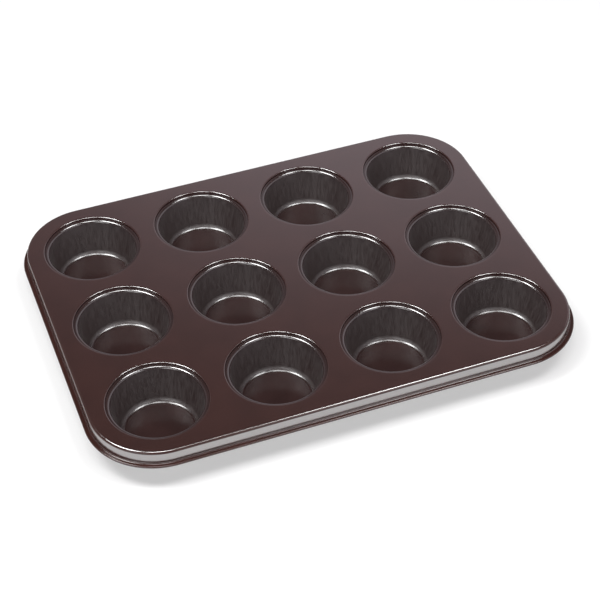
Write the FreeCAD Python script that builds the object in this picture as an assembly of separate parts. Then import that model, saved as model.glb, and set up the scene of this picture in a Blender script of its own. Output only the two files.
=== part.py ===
import FreeCAD, Part

# Muffin tin: twelve drawn steel cups, each hooked into its own opening in one pressed top
# plate by a flattened lock seam.  The plate's edge is turned down into a skirt, out into a
# narrow flange and round into a rolled rim.  The tin stands on the undersides of the cups.
#
# Millimetres.  +X along the four columns, +Y from the front row to the back row, +Z up.
# The origin is on the surface that the tin stands on, under the middle of the grid of cups.

import math
import os
from collections import namedtuple

# ---------------------------------------------------------------- driving dimensions
overall_length = 350.0         # over the rolled rim, along X
overall_width = 265.0          # over the rolled rim, along Y
overall_height = 28.2          # from the undersides of the cups to the plate's upper face
rim_corner_radius = 49.5       # of the rolled rim, seen from above
sheet = 0.45                   # steel sheet of the plate and of the cups

columns = 4
rows = ("front", "middle", "back")
column_pitch = 83.0
row_pitch = 82.0

skirt_drop = 9.4               # from the plate's upper face down to the flange's upper face
skirt_draft = 3.0              # degrees that the skirt leans outwards on its way down
shoulder_radius = 1.8          # convex bend between the plate and the skirt
foot_radius = 1.0              # concave bend between the skirt and the flange
flange_width = 3.3             # from the foot of the skirt to the outside of the rim
curl_diameter = 1.65           # over the rolled edge
curl_angle = 270.0             # how far the edge is rolled round, in degrees

opening_diameter = 69.0        # clear opening in the plate, between its folded edges
seam_leg = 1.6                 # length of each of the two hooks that lie inside one another
seam_end_clearance = 0.1       # between the end of each hook and the bend that it points to

mouth_diameter = 63.4          # where the line of the cup's wall meets the cup's flange
base_diameter = 51.6           # where the line of the cup's wall meets the cup's floor
lip_radius = 2.1               # convex bend from the cup's flange into its wall
floor_radius = 4.5             # concave bend from the cup's wall into its floor

# ---------------------------------------------------------------- derived dimensions
plate_middle = overall_height - sheet / 2      # height of the middle of the plate's sheet

# The seam is a flat stack of four sheets: the plate, the cup's hook, the plate's hook and
# the cup's flange.  It is pressed flat, so its folds are square and close round one sheet.
plate_fold = opening_diameter / 2 + sheet / 2
plate_hook_end = plate_fold + seam_leg
cup_hook_end = plate_fold + sheet / 2 + seam_end_clearance
cup_fold = plate_hook_end + seam_end_clearance + sheet / 2
cup_hook_height = plate_middle - sheet
cup_flange_face = overall_height - 3 * sheet
seam_blank_radius = cup_fold + 1.5 * sheet     # just outside the seam

Run = namedtuple("Run", "length")              # a straight stretch of sheet
Bend = namedtuple("Bend", "angle radius")      # degrees, left is positive; to the middle
Fold = namedtuple("Fold", "angle")             # a bend that is pressed square


# ---------------------------------------------------------------- sheet metal
def bent_sheet(start, heading, steps):
    """Section, in the XZ plane, of a sheet that follows straight runs, bends and folds.

    start is the (x, z) where the sheet's middle surface begins, and heading the way that it
    sets off, in degrees from +X towards +Z.  The thickness is the same all the way.
    """
    place = FreeCAD.Vector(start[0], 0, start[1])
    offsets = (sheet / 2, -sheet / 2)
    faces = ([], [])           # stretches of the left and right face, two or three points
    ends = [place + leftwards(heading) * offset for offset in offsets]
    for step in steps:
        across, ahead = leftwards(heading), leftwards(heading - 90)
        if isinstance(step, Fold):
            mitre = across - ahead * math.tan(math.radians(step.angle / 2))
            ends = [place + mitre * offset for offset in offsets]
            for face, end in zip(faces, ends):
                face[-1][-1] = end
        else:
            if isinstance(step, Run):
                place = place + ahead * step.length
                stretches = [[place + across * offset] for offset in offsets]
            else:
                stretches = bend_points(place, heading, step, offsets)
                place = (stretches[0][-1] + stretches[1][-1]) / 2
            for face, first, stretch in zip(faces, ends, stretches):
                face.append([first] + stretch)
            ends = [stretch[-1] for stretch in stretches]
        if not isinstance(step, Run):
            heading += step.angle
    outline = faces[0] + [ends] + faces[1][::-1] + [[faces[0][0][0], faces[1][0][0]]]
    return Part.Face(Part.Wire([edge_through(points) for points in outline]))


def leftwards(heading):
    """Unit vector that points to the left of the way ahead."""
    turn = math.radians(heading)
    return FreeCAD.Vector(-math.sin(turn), 0, math.cos(turn))


def bend_points(place, heading, bend, offsets):
    """The middle and the end of a bend on each face of the sheet."""
    to_centre = math.copysign(bend.radius, bend.angle)
    centre = place + leftwards(heading) * to_centre
    return [[centre + leftwards(heading + share * bend.angle) * (offset - to_centre)
             for share in (0.5, 1)] for offset in offsets]


def edge_through(points):
    """A straight edge between two points, or an arc through three."""
    return Part.makeLine(*points) if len(points) == 2 else Part.Arc(*points).toShape()


def spun(section, axis_x=0.0, axis_y=0.0, angle=360.0, first_angle=0.0):
    """A section in the XZ plane turned about a vertical axis, then put in its place."""
    solid = section.revolve(FreeCAD.Vector(), FreeCAD.Vector(0, 0, 1), angle)
    solid.rotate(FreeCAD.Vector(), FreeCAD.Vector(0, 0, 1), first_angle)
    solid.translate(FreeCAD.Vector(axis_x, axis_y, 0))
    return solid


# ---------------------------------------------------------------- cups
def cup_centres():
    """Node name and the plan position of each cup, row by row from the front left."""
    for row, row_name in enumerate(rows):
        for column in range(columns):
            x = (column - (columns - 1) / 2) * column_pitch
            y = (row - (len(rows) - 1) / 2) * row_pitch
            yield f"cup_{row_name}_{column + 1}", x, y


def cup_section():
    """Half section of a cup, from its hook in the seam to the middle of its floor."""
    depth = cup_flange_face - sheet
    wall_draft = math.atan2((mouth_diameter - base_diameter) / 2, depth)
    wall_turn = math.pi / 2 - wall_draft
    lip_start = mouth_diameter / 2 + lip_radius * math.tan(wall_turn / 2)
    floor_end = base_diameter / 2 - floor_radius * math.tan(wall_turn / 2)
    wall_run = (depth / math.cos(wall_draft)
                - (lip_radius + floor_radius) * math.tan(wall_turn / 2))
    return bent_sheet(
        start=(cup_hook_end, cup_hook_height),
        heading=0,
        steps=[
            Run(cup_fold - cup_hook_end),
            Fold(-90),
            Run(2 * sheet),
            Fold(-90),
            Run(cup_fold - lip_start),
            Bend(math.degrees(wall_turn), lip_radius - sheet / 2),
            Run(wall_run),
            Bend(-math.degrees(wall_turn), floor_radius + sheet / 2),
            Run(floor_end),
        ])


# ---------------------------------------------------------------- top plate
def opening_section():
    """Section of the plate's sheet where it folds under itself round an opening."""
    return bent_sheet(
        start=(seam_blank_radius, plate_middle),
        heading=180,
        steps=[
            Run(seam_blank_radius - plate_fold),
            Fold(90),
            Run(2 * sheet),
            Fold(90),
            Run(seam_leg),
        ])


def edge_section():
    """Section of the plate's edge, from the axis of a corner out to the rolled rim."""
    turn = 90 - skirt_draft
    shoulder_bend = shoulder_radius - sheet / 2
    foot_bend = foot_radius + sheet / 2
    curl_bend = (curl_diameter - sheet) / 2
    sine, cosine = math.sin(math.radians(turn)), math.cos(math.radians(turn))
    skirt_run = (skirt_drop - (shoulder_bend + foot_bend) * (1 - cosine)) / sine
    skirt_spread = (shoulder_bend + foot_bend) * sine + skirt_run * cosine
    foot_length = foot_bend * math.tan(math.radians(turn / 2))
    flange_run = flange_width - foot_length - curl_diameter / 2
    flat_run = rim_corner_radius - skirt_spread - flange_run - curl_diameter / 2
    return bent_sheet(
        start=(0, plate_middle),
        heading=0,
        steps=[
            Run(flat_run),
            Bend(-turn, shoulder_bend),
            Run(skirt_run),
            Bend(turn, foot_bend),
            Run(flange_run),
            Bend(-curl_angle, curl_bend),
        ])


def pressed_tray():
    """The plate with its skirt, flange and rolled rim, before the openings are made."""
    edge = edge_section()
    corner_x = overall_length / 2 - rim_corner_radius
    corner_y = overall_width / 2 - rim_corner_radius
    middle = Part.makeBox(2 * corner_x, 2 * corner_y, sheet,
                          FreeCAD.Vector(-corner_x, -corner_y, overall_height - sheet))
    pieces = []
    quarters = ((corner_x, -corner_y), (corner_x, corner_y),
                (-corner_x, corner_y), (-corner_x, -corner_y))
    for quarter, (x, y) in enumerate(quarters):
        first_angle = 90 * (quarter - 1)
        side_length = 2 * (corner_y if quarter % 2 == 0 else corner_x)
        pieces.append(spun(edge, x, y, 90, first_angle))
        side = edge.extrude(FreeCAD.Vector(0, side_length, 0))
        side.rotate(FreeCAD.Vector(), FreeCAD.Vector(0, 0, 1), first_angle + 90)
        side.translate(FreeCAD.Vector(x, y, 0))
        pieces.append(side)
    return middle.multiFuse(pieces).removeSplitter()


def top_plate():
    """The pressed plate with its twelve openings, each with the edge folded under."""
    plate = pressed_tray()
    places = [(x, y) for _, x, y in cup_centres()]
    blanks = [Part.makeCylinder(seam_blank_radius, 2 * sheet,
                                FreeCAD.Vector(x, y, overall_height - 1.5 * sheet))
              for x, y in places]
    folded_edge = opening_section()
    hooks = [spun(folded_edge, x, y) for x, y in places]
    return plate.cut(blanks).multiFuse(hooks).removeSplitter()


# ---------------------------------------------------------------- parts
def export(name, shape):
    """Check that a part is one sound solid and write it."""
    solids = shape.Solids
    assert shape.isValid() and len(solids) == 1, f"{name} is not one sound solid"
    solids[0].exportStep(f"parts/{name}.step")
    print(f"{name}: {solids[0].Volume / 1000:.2f} cm3")


os.makedirs("parts", exist_ok=True)
export("top_plate", top_plate())
section = cup_section()
for cup_name, cup_x, cup_y in cup_centres():
    export(cup_name, spun(section, cup_x, cup_y))
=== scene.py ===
import math
from collections import namedtuple

import bmesh
import bpy
from bpy.props import FloatProperty, FloatVectorProperty, IntProperty, PointerProperty
from mathutils import Matrix, Vector


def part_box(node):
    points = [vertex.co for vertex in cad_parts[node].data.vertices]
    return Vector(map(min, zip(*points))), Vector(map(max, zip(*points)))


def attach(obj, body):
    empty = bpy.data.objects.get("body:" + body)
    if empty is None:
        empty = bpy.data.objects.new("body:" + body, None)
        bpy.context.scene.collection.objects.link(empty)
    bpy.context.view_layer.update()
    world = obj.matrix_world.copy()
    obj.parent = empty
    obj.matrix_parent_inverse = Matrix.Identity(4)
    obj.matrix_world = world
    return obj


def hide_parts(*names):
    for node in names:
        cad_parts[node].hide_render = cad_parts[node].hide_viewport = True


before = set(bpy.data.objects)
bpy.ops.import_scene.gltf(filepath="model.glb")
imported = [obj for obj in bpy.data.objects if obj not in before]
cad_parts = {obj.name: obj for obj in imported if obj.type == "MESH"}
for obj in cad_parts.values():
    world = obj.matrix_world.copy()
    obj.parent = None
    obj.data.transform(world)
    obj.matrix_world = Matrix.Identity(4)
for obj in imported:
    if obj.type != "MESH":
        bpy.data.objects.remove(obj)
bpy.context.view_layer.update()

bl_info = {
    "name": "Muffin tin",
    "version": (1, 0, 0),
    "blender": (4, 5, 0),
    "location": "3D View > Sidebar > Muffin tin",
    "description": "Twelve-cup muffin tin of pressed steel with a baked non-stick coating",
    "category": "Add Mesh",
}

MM = 0.001
BODY = "root"
PLATE_NODE = "top_plate"
CUP_NODES = sorted(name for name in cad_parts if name.startswith("cup_"))

# A sheet's section is made of straight runs and round bends. A bend's angle is in degrees,
# with left positive, and its radius goes to the middle of the sheet.
Run = namedtuple("Run", "length")
Bend = namedtuple("Bend", "angle radius")

# Mesh work.
WELD = 0.002 * MM                         # points nearer than this become one
FLUSH = 0.01 * MM                         # an edge this level with the plate bounds its face
SHARP_ANGLE = math.radians(40)            # a sharper edge isn't smoothed over
RING_MARGIN = 2                           # sheets of flat face drawn with an opening

# The coating.
PLATE_INDEX = 3.6                         # high, for the metal flake in the coat
CUP_INDEX = 2.5
FULL_SHEEN = 0.5                          # the shader's own neutral specular level
RIPPLE_HEIGHT = 0.004 * MM
MOTTLE_WIDTH = 25 * MM
STREAK_WIDTH = 1.4 * MM
STREAK_STRETCH = 0.2                      # a move down the wall counts less: lines run long
STREAK_ROUGHNESS = 0.08                   # either way from the wall's own
NOISE_LOW, NOISE_HIGH = 0.3, 0.7          # nearly all of a noise lies between these
PLATE_SPREAD, CUP_SPREAD = 0.08, 0.45     # how far a colour strays, as a share of it

# Where the finish changes, from one height to another. The plate's sheen drops on its bends and
# from the foot of its skirt down, partly as painted shade.
FACE_EDGE = (0.3 * MM, 0.02 * MM)         # below the plate's face
SHOULDER_END = (1.9 * MM, 1.4 * MM)       # below the plate's face
FOOT_END = (0.3 * MM, 0.9 * MM)           # above the flange
WALL_TOP = (3 * MM, 1.5 * MM)             # below the top of the cup's sheet
FLOOR_EDGE = (0.05 * MM, 1.1 * MM)        # above the cup's floor
WALL_FOOT = 0.6                           # as a share of the floor bend's radius

# The studio, in metres.
FLOOR_SIZE = 60.0
GLOW_START, GLOW_END = 0.35, 1.2          # shadows on the table fade out between these
VIEW_LIMIT = 100.0
AIM = Vector((-3.5 * MM, -25.2 * MM, 0))  # in plan, from the middle of the tin
LAMP_WATTS = 4.0                          # per square metre of a face as light as paper

# A softbox's azimuth goes from +X towards +Y, its elevation is over the table, and its level
# is 1 where its face is as light as paper.
Softbox = namedtuple("Softbox", "name azimuth elevation distance width length level")
SOFTBOXES = (
    Softbox("softbox_left", 164.0, 63.0, 2.0, 0.60, 0.75, 13.5),
    Softbox("softbox_right", 334.0, 68.0, 2.0, 0.60, 0.60, 9.5),
    Softbox("softbox_top", 235.0, 81.0, 2.0, 0.60, 0.55, 8.0),
    Softbox("softbox_front_left", 222.0, 28.0, 2.0, 1.00, 0.60, 2.0),
    Softbox("softbox_front_right", 290.0, 37.0, 2.0, 0.50, 0.50, 2.2),
)

# Light of the empty room by elevation in degrees: grey low down, nearly dark overhead.
LOW_ROOM = (0.3, 0.28, 0.3)
HIGH_ROOM = (0.01, 0.008, 0.008)
ROOM_BANDS = (
    (0.0, LOW_ROOM),
    (28.0, LOW_ROOM),
    (37.0, (0.24, 0.22, 0.24)),
    (40.5, (0.11, 0.10, 0.11)),
    (43.0, HIGH_ROOM),
    (90.0, HIGH_ROOM),
)
ROOM_LEFT, ROOM_RIGHT = 0.05, 0.28        # X of a direction, where the room's gain changes


def colour(code):
    """Linear RGB of an sRGB hex colour."""
    parts = [int(code[at:at + 2], 16) / 255 for at in (0, 2, 4)]
    return tuple(p / 12.92 if p <= 0.04045 else ((p + 0.055) / 1.055) ** 2.4 for p in parts)


def length(name, description, millimetres):
    """A length that the sidebar shows in the scene's unit."""
    return FloatProperty(name=name, description=description, default=millimetres * MM,
                         min=0.0, precision=5, subtype="DISTANCE", unit="LENGTH")


def angle(name, description, degrees):
    """An angle that the sidebar shows in degrees."""
    return FloatProperty(name=name, description=description, default=math.radians(degrees),
                         subtype="ANGLE", unit="ROTATION")


def tint(name, description, code):
    """A colour that starts from an sRGB hex value."""
    return FloatVectorProperty(name=name, description=description, default=colour(code),
                               min=0.0, max=1.0, subtype="COLOR")


# ------------------------------------------------------------------ settings
class TinSizes(bpy.types.PropertyGroup):
    """Sizes of the pressed sheets; places and overall sizes come from the parts in model.glb."""

    sheet: length("Sheet", "Thickness of the coated steel sheet", 0.45)
    rim_corner_radius: length("Rim corner", "Corner radius of the rim from above", 49.5)
    skirt_drop: length("Skirt drop", "From the plate's face down to the flange's face", 9.4)
    skirt_draft: angle("Skirt draft", "How far the skirt leans outwards", 3.0)
    shoulder_radius: length("Shoulder", "Bend from plate to skirt, outside", 1.8)
    foot_radius: length("Foot", "Bend from skirt to flange, inside", 1.0)
    flange_width: length("Flange", "From the foot of the skirt to the rim's edge", 3.3)
    curl_diameter: length("Curl", "Diameter over the rolled edge", 1.65)
    curl_angle: angle("Curl angle", "How far the edge is rolled round", 270.0)
    opening_diameter: length("Opening", "Clear opening between the folded edges", 69.0)
    seam_leg: length("Seam leg", "Length of each hook of the lock seam", 1.6)
    seam_clearance: length("Seam clearance", "Past the end of each hook", 0.1)
    mouth_diameter: length("Mouth", "Where the cup's wall meets its flange", 63.4)
    base_diameter: length("Base", "Where the cup's wall meets its floor", 51.6)
    lip_radius: length("Lip", "Bend from the cup's flange into its wall, outside", 2.1)
    floor_radius: length("Floor bend", "Bend from the wall into the floor, inside", 4.5)
    facets: IntProperty(name="Facets", description="Facets round a cup or an opening",
                        default=128, min=24, max=512)
    bend_step: angle("Bend step", "Largest turn between two facets of a bend", 9.0)
    fold_step: angle("Fold step", "Largest turn between two facets of a seam fold", 20.0)


class TinFinish(bpy.types.PropertyGroup):
    """Colours and gloss of the baked non-stick coating."""

    plate_colour: tint("Plate", "Coating on the top plate", "3C231F")
    cup_colour: tint("Cups", "Coating on the cups", "302120")
    roughness: FloatProperty(name="Roughness", description="Satin of the coating",
                             default=0.18, min=0.0, max=1.0, subtype="FACTOR")
    wall_roughness: FloatProperty(name="Wall roughness", default=0.5, min=0.0, max=1.0,
                                  description="Roughness where the cup's wall was drawn",
                                  subtype="FACTOR")
    floor_sheen: FloatProperty(name="Floor sheen", default=0.15, min=0.0, max=1.0,
                               description="Sheen of a cup's flat floor, as a share of the rest",
                               subtype="FACTOR")
    # This share also sets the sheen of the flange and rolled edge, where the low sheen is
    # painted shade.
    bend_sheen: FloatProperty(name="Bend sheen", default=0.2, min=0.0, max=1.0,
                              description="Sheen of the plate's bends, as a share of the rest",
                              subtype="FACTOR")
    orange_peel: length("Orange peel", "Distance between the ripples of the coating", 1.6)


class TinStudio(bpy.types.PropertyGroup):
    """Camera and light."""

    camera_azimuth: angle("Azimuth", "Camera's turn to the left of the front", 19.58)
    camera_elevation: angle("Elevation", "Camera's height above the plate", 42.55)
    camera_roll: angle("Roll", "Camera's turn about its own axis", -1.14)
    camera_distance: length("Distance", "Camera to the aim point", 1146.0)
    camera_lens: FloatProperty(name="Lens", description="Focal length", default=98.4,
                               min=1.0, unit="CAMERA")
    lamp_gain: FloatProperty(name="Softboxes", default=1.0, min=0.0,
                             description="Gain of all softboxes")
    left_level: FloatProperty(name="Left level", default=0.45, min=0.0,
                              description="Gain of the room to the left of the tin")
    right_level: FloatProperty(name="Right level", default=1.65, min=0.0,
                               description="Gain of the room to the right of the tin")
    table_glow: FloatProperty(name="Table glow", default=0.45, min=0.0, max=1.0,
                              subtype="FACTOR",
                              description="Share of the lit table that shows no shadow")


# ------------------------------------------------------------------ mesh tools
def deselect_all():
    """Clear the selection, since an operator acts on all that is selected."""
    bpy.ops.object.select_all(action="DESELECT")


def leftwards(heading):
    """Unit vector in the XZ plane that points to the left of the way ahead."""
    turn = math.radians(heading)
    return Vector((-math.sin(turn), 0, math.cos(turn)))


def start_piece(name, place):
    """A new object at the origin, in edit mode, with one selected vertex at a place."""
    deselect_all()
    bpy.ops.mesh.primitive_plane_add(size=MM, location=place)
    bpy.ops.object.transform_apply(location=True, rotation=False, scale=False)
    piece = bpy.context.object
    piece.name = piece.data.name = name
    bpy.ops.object.mode_set(mode="EDIT")
    bpy.ops.mesh.merge(type="CENTER")
    return piece


def draw_section(start, heading, steps, bend_step):
    """Draw a sheet's middle line in the XZ plane from the selected vertex; return its end."""
    place = Vector(start)
    for step in steps:
        if isinstance(step, Run):
            move = leftwards(heading - 90) * step.length
            bpy.ops.mesh.extrude_region_move(TRANSFORM_OT_translate={"value": move})
            place = place + move
        else:
            to_centre = math.copysign(step.radius, step.angle)
            centre = place + leftwards(heading) * to_centre
            turn = math.radians(step.angle)
            count = max(2, math.ceil(abs(turn) / bend_step))
            bpy.ops.mesh.spin(steps=count, angle=turn, center=centre, axis=(0, 1, 0))
            heading += step.angle
            place = centre - leftwards(heading) * to_centre
    return place


def select_edges(piece, wanted):
    """Select the edges that pass a test, on a piece in edit mode."""
    bpy.ops.mesh.select_all(action="DESELECT")
    mesh = bmesh.from_edit_mesh(piece.data)
    for edge in mesh.edges:
        if wanted(edge):
            edge.select = True
    bmesh.update_edit_mesh(piece.data)


def close_sheet(piece, sheet):
    """Merge the seams of a middle surface, face it upwards and give it thickness."""
    bpy.ops.mesh.select_all(action="SELECT")
    bpy.ops.mesh.remove_doubles(threshold=WELD)
    bpy.ops.mesh.normals_make_consistent(inside=False)
    bpy.ops.object.mode_set(mode="OBJECT")
    wall = piece.modifiers.new("Sheet", "SOLIDIFY")
    wall.thickness = sheet
    wall.offset = 0.0
    wall.use_even_offset = True
    bpy.ops.object.modifier_apply(modifier=wall.name)
    bpy.ops.object.shade_smooth_by_angle(angle=SHARP_ANGLE)
    weights = piece.modifiers.new("Flat faces lead", "WEIGHTED_NORMAL")
    weights.keep_sharp = True
    bpy.ops.object.modifier_apply(modifier=weights.name)


# ------------------------------------------------------------------ sections
def plate_middle():
    """Height of the middle of the top plate's sheet."""
    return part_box(PLATE_NODE)[1].z - bpy.context.scene.tin_sizes.sheet / 2


def cup_centre(node):
    """Axis of a cup in plan."""
    low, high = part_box(node)
    return Vector(((low.x + high.x) / 2, (low.y + high.y) / 2, 0))


def fold_centre(sizes):
    """Radius at which the plate's edge begins to fold under."""
    return sizes.opening_diameter / 2 + 1.5 * sizes.sheet


def edge_steps(sizes):
    """Steps of the plate's edge from the shoulder on, and how far they reach outwards."""
    turn = 90 - math.degrees(sizes.skirt_draft)
    sine, cosine = math.sin(math.radians(turn)), math.cos(math.radians(turn))
    shoulder_bend = sizes.shoulder_radius - sizes.sheet / 2
    foot_bend = sizes.foot_radius + sizes.sheet / 2
    curl_bend = (sizes.curl_diameter - sizes.sheet) / 2
    skirt_run = (sizes.skirt_drop - (shoulder_bend + foot_bend) * (1 - cosine)) / sine
    foot_length = foot_bend * math.tan(math.radians(turn / 2))
    flange_run = sizes.flange_width - foot_length - sizes.curl_diameter / 2
    reach = ((shoulder_bend + foot_bend) * sine + skirt_run * cosine
             + flange_run + sizes.curl_diameter / 2)
    return [Bend(-turn, shoulder_bend), Run(skirt_run), Bend(turn, foot_bend),
            Run(flange_run), Bend(-math.degrees(sizes.curl_angle), curl_bend)], reach


def draw_edge(sizes):
    """Draw the plate's edge: its section swept along each side and round each corner."""
    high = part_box(PLATE_NODE)[1]
    radius = sizes.rim_corner_radius
    half = Vector((high.x - radius, high.y - radius, 0))
    steps, reach = edge_steps(sizes)
    start = Vector((half.x + radius - reach, -half.y, plate_middle()))
    plate = start_piece("pressed_top_plate", start)
    draw_section(start, 0, steps, sizes.bend_step)
    bpy.ops.mesh.select_all(action="SELECT")
    for along, corner in (((0, 2 * half.y, 0), (half.x, half.y, 0)),
                          ((-2 * half.x, 0, 0), (-half.x, half.y, 0)),
                          ((0, -2 * half.y, 0), (-half.x, -half.y, 0)),
                          ((2 * half.x, 0, 0), (half.x, -half.y, 0))):
        bpy.ops.mesh.extrude_region_move(TRANSFORM_OT_translate={"value": along})
        bpy.ops.mesh.spin(steps=sizes.facets // 4, angle=-math.pi / 2,
                          center=corner, axis=(0, 0, 1))
    bpy.ops.mesh.select_all(action="SELECT")
    bpy.ops.mesh.remove_doubles(threshold=WELD)
    bpy.ops.object.mode_set(mode="OBJECT")
    return plate


def draw_opening(sizes, centre):
    """Draw one opening's edge, folded under itself, as a ring about a cup's axis."""
    rim = fold_centre(sizes) + RING_MARGIN * sizes.sheet
    start = Vector((centre.x + rim, centre.y, plate_middle()))
    ring = start_piece("opening_edge", start)
    steps = [Run(rim - fold_centre(sizes)), Bend(180, sizes.sheet), Run(sizes.seam_leg)]
    draw_section(start, 180, steps, sizes.fold_step)
    bpy.ops.mesh.select_all(action="SELECT")
    bpy.ops.mesh.spin(steps=sizes.facets, angle=2 * math.pi, center=centre, axis=(0, 0, 1))
    bpy.ops.mesh.select_all(action="SELECT")
    bpy.ops.mesh.remove_doubles(threshold=WELD)
    bpy.ops.object.mode_set(mode="OBJECT")
    return ring


def cup_steps(sizes):
    """Radius at which a cup's sheet begins, its seam hook, and its flange, wall and floor."""
    sheet = sizes.sheet
    hook_end = fold_centre(sizes) + sizes.seam_clearance
    fold_radius = (fold_centre(sizes) - sheet + sizes.seam_leg
                   + sizes.seam_clearance + sheet / 2)
    fold_start = fold_radius - sheet
    flange_middle = plate_middle() - sheet - 2 * sheet
    drop = flange_middle + sheet / 2 - (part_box(CUP_NODES[0])[0].z + sheet)
    taper = (sizes.mouth_diameter - sizes.base_diameter) / 2
    turn = 90 - math.degrees(math.atan2(taper, drop))
    lip_length = sizes.lip_radius * math.tan(math.radians(turn / 2))
    floor_length = sizes.floor_radius * math.tan(math.radians(turn / 2))
    lip_start = sizes.mouth_diameter / 2 + lip_length
    hook = [Run(fold_start - hook_end), Bend(-180, sheet)]
    well = [Run(fold_start - lip_start),
            Bend(turn, sizes.lip_radius - sheet / 2),
            Run(math.hypot(drop, taper) - (lip_length + floor_length)),
            Bend(-turn, sizes.floor_radius + sheet / 2),
            Run(sizes.base_diameter / 2 - floor_length)]
    return hook_end, hook, well


def draw_cup(sizes, centre):
    """Draw a cup from its hook to the middle of its floor, and spin it about its axis."""
    hook_end, hook, well = cup_steps(sizes)
    start = Vector((centre.x + hook_end, centre.y, plate_middle() - sizes.sheet))
    cup = start_piece(CUP_NODES[0].replace("cup", "drawn_cup"), start)
    fold = draw_section(start, 0, hook, sizes.fold_step)
    draw_section(fold, 180, well, sizes.bend_step)
    bpy.ops.mesh.select_all(action="SELECT")
    bpy.ops.mesh.spin(steps=sizes.facets, angle=2 * math.pi, center=centre, axis=(0, 0, 1))
    close_sheet(cup, sizes.sheet)
    return cup


def copy_of(piece, name, move):
    """A copy of a piece with its own mesh, moved in its mesh."""
    twin = piece.copy()
    twin.data = piece.data.copy()
    twin.name = twin.data.name = name
    twin.data.transform(Matrix.Translation(move))
    bpy.context.collection.objects.link(twin)
    return twin


# ------------------------------------------------------------------ materials
def add_node(tree, kind, inputs=None, **settings):
    """Add a node with its settings.

    An input takes a value, another node's output, or a node, meaning its first output.
    """
    made = tree.nodes.new(kind)
    for name, value in settings.items():
        setattr(made, name, value)
    for name, value in (inputs or {}).items():
        source = value.outputs[0] if isinstance(value, bpy.types.Node) else value
        if isinstance(source, bpy.types.NodeSocket):
            tree.links.new(source, made.inputs[name])
        else:
            made.inputs[name].default_value = source
    return made


def new_material(name):
    """An empty node material and its tree."""
    material = bpy.data.materials.new(name)
    material.use_nodes = True
    material.node_tree.nodes.clear()
    return material, material.node_tree


def rgba(value):
    """A colour as four numbers, fully opaque."""
    return (*value, 1.0)


def by_height(tree, place, start, end, low, high):
    """Go from low at one height to high at another, eased at both ends."""
    height = add_node(tree, "ShaderNodeSeparateXYZ", {"Vector": place}).outputs["Z"]
    return add_node(tree, "ShaderNodeMapRange", {
        "Value": height, "From Min": start, "From Max": end, "To Min": low, "To Max": high},
        interpolation_type="SMOOTHSTEP")


def round_own_cup(tree, place):
    """Place measured in plan from the axis of the cup that it belongs to."""
    centre = cup_centre("cup_middle_2")
    half = (cup_centre("cup_back_3") - centre) / 2 + Vector((0, 0, 1))
    away = add_node(tree, "ShaderNodeVectorMath", {0: place, 1: centre},
                    operation="SUBTRACT")
    return add_node(tree, "ShaderNodeVectorMath", {0: away, 1: half, 2: -half},
                    operation="WRAP")


def drawing_streaks(tree, place):
    """Fine lines that run down the wall of a cup, the way that the punch drew it.

    Real ones lie a few tenths of a millimetre apart. These are coarser, so that they show.
    """
    sizes = bpy.context.scene.tin_sizes
    radius = (sizes.mouth_diameter + sizes.base_diameter) / 4
    own = round_own_cup(tree, place)
    plan = add_node(tree, "ShaderNodeVectorMath", {0: own, 1: (1, 1, 0)},
                    operation="MULTIPLY")
    outwards = add_node(tree, "ShaderNodeVectorMath", {0: plan}, operation="NORMALIZE")
    on_ring = add_node(tree, "ShaderNodeVectorMath", {0: outwards, 1: (radius, radius, radius)},
                       operation="MULTIPLY")
    down = add_node(tree, "ShaderNodeVectorMath", {0: own, 1: (0, 0, STREAK_STRETCH)},
                    operation="MULTIPLY")
    along = add_node(tree, "ShaderNodeVectorMath", {0: on_ring, 1: down}, operation="ADD")
    return add_node(tree, "ShaderNodeTexNoise", {
        "Vector": along, "Scale": 1 / STREAK_WIDTH, "Detail": 3.0})


def drawn_wall(tree, place):
    """1 on the wall of a cup, where the sheet was stretched, and 0 on floor and flange."""
    sizes = bpy.context.scene.tin_sizes
    low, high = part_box(CUP_NODES[0])
    above_floor = by_height(tree, place, low.z + sizes.sheet,
                            low.z + WALL_FOOT * sizes.floor_radius, 0.0, 1.0)
    below_lip = by_height(tree, place, high.z - WALL_TOP[0], high.z - WALL_TOP[1], 1.0, 0.0)
    return add_node(tree, "ShaderNodeMath", {0: above_floor, 1: below_lip},
                    operation="MULTIPLY")


def floor_dimmed_sheen(tree, place, floor_sheen):
    """Sheen of a cup: full on its wall and bends, low on the flat floor, which makes the floor
    darker.
    """
    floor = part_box(CUP_NODES[0])[0].z + bpy.context.scene.tin_sizes.sheet
    return by_height(tree, place, floor + FLOOR_EDGE[0], floor + FLOOR_EDGE[1],
                     FULL_SHEEN * floor_sheen, FULL_SHEEN)


def shade_dimmed_sheen(tree, place, bend_sheen):
    """Sheen of the plate: full on its face and skirt, low on its bends, flange and rolled edge.
    On the foot, flange and rolled edge the low sheen is painted shade, where the skirt shades
    them; on the shoulder and the folds round the openings it only dims their highlights.
    """
    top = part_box(PLATE_NODE)[1].z
    flange = top - bpy.context.scene.tin_sizes.skirt_drop
    face = by_height(tree, place, top - FACE_EDGE[0], top - FACE_EDGE[1], 0.0, 1.0)
    below_bend = by_height(tree, place, top - SHOULDER_END[0], top - SHOULDER_END[1], 1.0, 0.0)
    above_foot = by_height(tree, place, flange + FOOT_END[0], flange + FOOT_END[1], 0.0, 1.0)
    skirt = add_node(tree, "ShaderNodeMath", {0: below_bend, 1: above_foot},
                     operation="MULTIPLY")
    flat = add_node(tree, "ShaderNodeMath", {0: face, 1: skirt}, operation="ADD")
    return add_node(tree, "ShaderNodeMapRange", {
        "Value": flat, "To Min": FULL_SHEEN * bend_sheen, "To Max": FULL_SHEEN},
        interpolation_type="SMOOTHSTEP")


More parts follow.
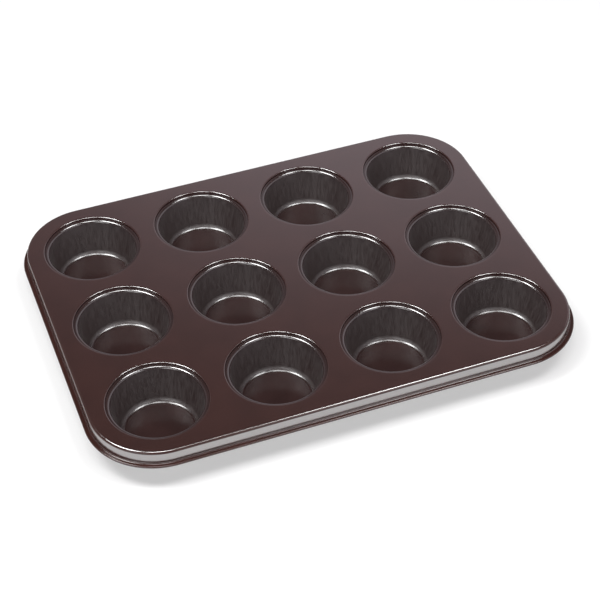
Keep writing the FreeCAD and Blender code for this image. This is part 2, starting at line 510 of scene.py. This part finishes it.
def sprayed_patterns(tree, finish):
    """Place on the piece, the orange peel of its sprayed coat, and faint patches."""
    place = add_node(tree, "ShaderNodeTexCoord").outputs["Object"]
    peel = add_node(tree, "ShaderNodeTexNoise", {
        "Vector": place, "Scale": 1 / finish.orange_peel, "Detail": 2.0})
    patches = add_node(tree, "ShaderNodeTexNoise", {
        "Vector": place, "Scale": 1 / MOTTLE_WIDTH, "Detail": 3.0})
    return place, peel, patches


def add_coat(tree, base, spread, mottle, height, gloss):
    """Add the coat's shader: its colour strays with the mottle, its face ripples with height."""
    shade = add_node(tree, "ShaderNodeMix", {
        0: mottle, 6: rgba([(1 - spread) * part for part in base]),
        7: rgba([(1 + spread) * part for part in base])}, data_type="RGBA").outputs[2]
    bump = add_node(tree, "ShaderNodeBump", {
        "Height": height, "Strength": 1.0, "Distance": RIPPLE_HEIGHT})
    coat = add_node(tree, "ShaderNodeBsdfPrincipled", {
        "Base Color": shade, "Normal": bump, **gloss})
    add_node(tree, "ShaderNodeOutputMaterial", {"Surface": coat})


def plate_coating(finish):
    """Non-stick coating with metal flake, sprayed on pressed steel and baked.

    It gives a brown, faintly mottled satin with a fine orange peel, under a strong neutral sheen
    that is lowered round the bends and on the flange and rolled edge, where it is painted shade.
    """
    material, tree = new_material("baked_nonstick_brown")
    place, peel, patches = sprayed_patterns(tree, finish)
    mottle = add_node(tree, "ShaderNodeMapRange", {
        "Value": patches, "From Min": NOISE_LOW, "From Max": NOISE_HIGH},
        interpolation_type="SMOOTHSTEP")
    # The plate's sheen mask darkens its flange and rolled edge as painted shade.
    add_coat(tree, finish.plate_colour, PLATE_SPREAD, mottle, peel, {
        "Roughness": finish.roughness, "IOR": PLATE_INDEX,
        "Specular IOR Level": shade_dimmed_sheen(tree, place, finish.bend_sheen)})
    return material


def cup_coating(finish):
    """The same coating on a deep-drawn cup.

    It gives a softer wall with fine upright lines, bright bends and a dull floor.
    """
    material, tree = new_material("baked_nonstick_grey")
    place, peel, patches = sprayed_patterns(tree, finish)
    wall = drawn_wall(tree, place)
    streaks = drawing_streaks(tree, place)
    wall_roughness = add_node(tree, "ShaderNodeMapRange", {
        "Value": streaks, "From Min": NOISE_LOW, "From Max": NOISE_HIGH,
        "To Min": finish.wall_roughness - STREAK_ROUGHNESS,
        "To Max": finish.wall_roughness + STREAK_ROUGHNESS}, interpolation_type="SMOOTHSTEP")
    roughness = add_node(tree, "ShaderNodeMix", {
        0: wall, 2: finish.roughness, 3: wall_roughness})
    lines = add_node(tree, "ShaderNodeMath", {0: streaks, 1: wall}, operation="MULTIPLY")
    height = add_node(tree, "ShaderNodeMath", {0: peel, 1: lines}, operation="ADD")
    mottle = add_node(tree, "ShaderNodeMix", {0: wall, 2: patches, 3: streaks})
    add_coat(tree, finish.cup_colour, CUP_SPREAD, mottle, height, {
        "Roughness": roughness, "IOR": CUP_INDEX,
        "Specular IOR Level": floor_dimmed_sheen(tree, place, finish.floor_sheen)})
    return material


# ------------------------------------------------------------------ operators
class TIN_OT_press_top_plate(bpy.types.Operator):
    """Press the top plate: openings with folded edges, skirt, flange and rolled rim"""

    bl_idname = "tin.press_top_plate"
    bl_label = "Press top plate"

    def execute(self, context):
        sizes = context.scene.tin_sizes
        plate = draw_edge(sizes)
        first, *others = (cup_centre(node) for node in CUP_NODES)
        rings = [draw_opening(sizes, first)]
        rings += [copy_of(rings[0], "opening_edge", centre - first) for centre in others]
        deselect_all()
        for piece in [plate] + rings:
            piece.select_set(True)
        context.view_layer.objects.active = plate
        bpy.ops.object.join()
        bpy.ops.object.mode_set(mode="EDIT")
        level = plate_middle()
        select_edges(plate, lambda edge: edge.is_boundary and all(
            abs(end.co.z - level) < FLUSH for end in edge.verts))
        bpy.ops.mesh.fill(use_beauty=True)
        close_sheet(plate, sizes.sheet)
        plate.data.materials.clear()
        plate.data.materials.append(plate_coating(context.scene.tin_finish))
        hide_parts(PLATE_NODE)
        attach(plate, BODY)
        return {"FINISHED"}


class TIN_OT_draw_cups(bpy.types.Operator):
    """Draw one cup from a disc of sheet and seam a copy of it into each opening"""

    bl_idname = "tin.draw_cups"
    bl_label = "Draw cups"

    def execute(self, context):
        centre = cup_centre(CUP_NODES[0])
        cup = draw_cup(context.scene.tin_sizes, centre)
        cup.data.materials.clear()
        cup.data.materials.append(cup_coating(context.scene.tin_finish))
        for node in CUP_NODES:
            piece = cup
            if node != CUP_NODES[0]:
                # A copy inherits everything of the first cup but its mesh and name.
                piece = copy_of(cup, node.replace("cup", "drawn_cup"),
                                cup_centre(node) - centre)
            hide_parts(node)
            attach(piece, BODY)
        return {"FINISHED"}


class TIN_OT_set_stage(bpy.types.Operator):
    """Set the stage: table, softboxes, light of the room and camera"""

    bl_idname = "tin.set_stage"
    bl_label = "Set stage"

    def execute(self, context):
        studio = context.scene.tin_studio
        context.scene.view_settings.view_transform = "Standard"
        self.lay_floor(studio)
        for softbox in SOFTBOXES:
            self.hang_softbox(softbox, studio.lamp_gain)
        self.light_room(context, studio)
        self.place_camera(context, studio)
        return {"FINISHED"}

    def lay_floor(self, studio):
        """A white table that glows for the camera alone, and keeps the tin's shadow."""
        deselect_all()
        bpy.ops.mesh.primitive_plane_add(size=FLOOR_SIZE)
        floor = bpy.context.object
        floor.name = floor.data.name = "studio_floor"
        material, tree = new_material("lit_white_table")
        paper = add_node(tree, "ShaderNodeBsdfDiffuse", {"Color": rgba(colour("F7F7F7"))})
        glow = add_node(tree, "ShaderNodeEmission", {
            "Color": rgba(colour("FFFFFF")), "Strength": 1.0})
        place = add_node(tree, "ShaderNodeTexCoord").outputs["Object"]
        away = add_node(tree, "ShaderNodeVectorMath", {0: place},
                        operation="LENGTH").outputs["Value"]
        white = add_node(tree, "ShaderNodeMapRange", {
            "Value": away, "From Min": GLOW_START, "From Max": GLOW_END,
            "To Min": studio.table_glow, "To Max": 1.0}, interpolation_type="SMOOTHSTEP")
        path = add_node(tree, "ShaderNodeLightPath")
        share = add_node(tree, "ShaderNodeMath", {
            0: path.outputs["Is Camera Ray"], 1: white}, operation="MULTIPLY")
        mix = add_node(tree, "ShaderNodeMixShader", {0: share, 1: paper, 2: glow})
        add_node(tree, "ShaderNodeOutputMaterial", {"Surface": mix})
        floor.data.materials.append(material)

    def hang_softbox(self, softbox, gain):
        """A lamp with a lit face, turned to the tin and hidden from the camera."""
        deselect_all()
        turn, rise = math.radians(softbox.azimuth), math.radians(softbox.elevation)
        way = Vector((math.cos(turn) * math.cos(rise), math.sin(turn) * math.cos(rise),
                      math.sin(rise)))
        bpy.ops.object.light_add(type="AREA", location=way * softbox.distance)
        lamp = bpy.context.object
        lamp.name = lamp.data.name = softbox.name
        lamp.data.shape = "RECTANGLE"
        lamp.data.size = softbox.width
        lamp.data.size_y = softbox.length
        lamp.data.energy = gain * softbox.level * LAMP_WATTS * softbox.width * softbox.length
        lamp.visible_camera = False
        lamp.rotation_euler = way.to_track_quat("Z", "Y").to_euler()

    def light_room(self, context, studio):
        """A grey room with a dark upper part, and white behind it all for the camera."""
        world = bpy.data.worlds.new("studio_room")
        context.scene.world = world
        world.use_nodes = True
        tree = world.node_tree
        tree.nodes.clear()
        way = add_node(tree, "ShaderNodeTexCoord").outputs["Generated"]
        parts = add_node(tree, "ShaderNodeSeparateXYZ", {"Vector": way})
        ramp = add_node(tree, "ShaderNodeValToRGB", {"Fac": parts.outputs["Z"]})
        elements = ramp.color_ramp.elements
        while len(elements) < len(ROOM_BANDS):
            elements.new(1.0)
        for element, (elevation, light) in zip(elements, ROOM_BANDS):
            element.position = math.sin(math.radians(elevation))
            element.color = rgba(light)
        gain = add_node(tree, "ShaderNodeMapRange", {
            "Value": parts.outputs["X"], "From Min": ROOM_LEFT, "From Max": ROOM_RIGHT,
            "To Min": studio.left_level, "To Max": studio.right_level},
            interpolation_type="SMOOTHSTEP")
        room = add_node(tree, "ShaderNodeBackground", {"Color": ramp, "Strength": gain})
        white = add_node(tree, "ShaderNodeBackground", {"Color": rgba(colour("FFFFFF"))})
        path = add_node(tree, "ShaderNodeLightPath")
        mix = add_node(tree, "ShaderNodeMixShader", {
            0: path.outputs["Is Camera Ray"], 1: room, 2: white})
        add_node(tree, "ShaderNodeOutputWorld", {"Surface": mix})

    def place_camera(self, context, studio):
        """A long lens that looks down on the plate from the front left."""
        deselect_all()
        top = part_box(PLATE_NODE)[1].z
        flat = math.cos(studio.camera_elevation)
        way = Vector((-math.sin(studio.camera_azimuth) * flat,
                      -math.cos(studio.camera_azimuth) * flat,
                      math.sin(studio.camera_elevation)))
        place = AIM + Vector((0, 0, top)) + way * studio.camera_distance
        bpy.ops.object.camera_add(location=place)
        camera = bpy.context.object
        camera.name = camera.data.name = "studio_camera"
        camera.data.lens = studio.camera_lens
        camera.data.clip_end = VIEW_LIMIT
        turn = way.to_track_quat("Z", "Y").to_matrix()
        roll = Matrix.Rotation(studio.camera_roll, 3, "Z")
        camera.rotation_euler = (turn @ roll).to_euler()
        context.scene.camera = camera


class TIN_PT_tools(bpy.types.Panel):
    """Steps that build the muffin tin"""

    bl_idname = "TIN_PT_tools"
    bl_label = "Muffin tin"
    bl_space_type = "VIEW_3D"
    bl_region_type = "UI"
    bl_category = "Muffin tin"

    def draw(self, context):
        """A button for each step, and then every setting."""
        for step in STEPS:
            self.layout.operator(step.bl_idname)
        for group in (context.scene.tin_sizes, context.scene.tin_finish,
                      context.scene.tin_studio):
            column = self.layout.column()
            for name in group.bl_rna.properties.keys():
                if name not in ("rna_type", "name"):
                    column.prop(group, name)


STEPS = (TIN_OT_press_top_plate, TIN_OT_draw_cups, TIN_OT_set_stage)
CLASSES = (TinSizes, TinFinish, TinStudio, *STEPS, TIN_PT_tools)


def register():
    for kind in CLASSES:
        bpy.utils.register_class(kind)
    bpy.types.Scene.tin_sizes = PointerProperty(type=TinSizes)
    bpy.types.Scene.tin_finish = PointerProperty(type=TinFinish)
    bpy.types.Scene.tin_studio = PointerProperty(type=TinStudio)


def unregister():
    del bpy.types.Scene.tin_studio
    del bpy.types.Scene.tin_finish
    del bpy.types.Scene.tin_sizes
    for kind in reversed(CLASSES):
        bpy.utils.unregister_class(kind)


def main():
    register()
    bpy.ops.tin.press_top_plate()
    bpy.ops.tin.draw_cups()
    bpy.ops.tin.set_stage()


if __name__ == "__main__":
    main()
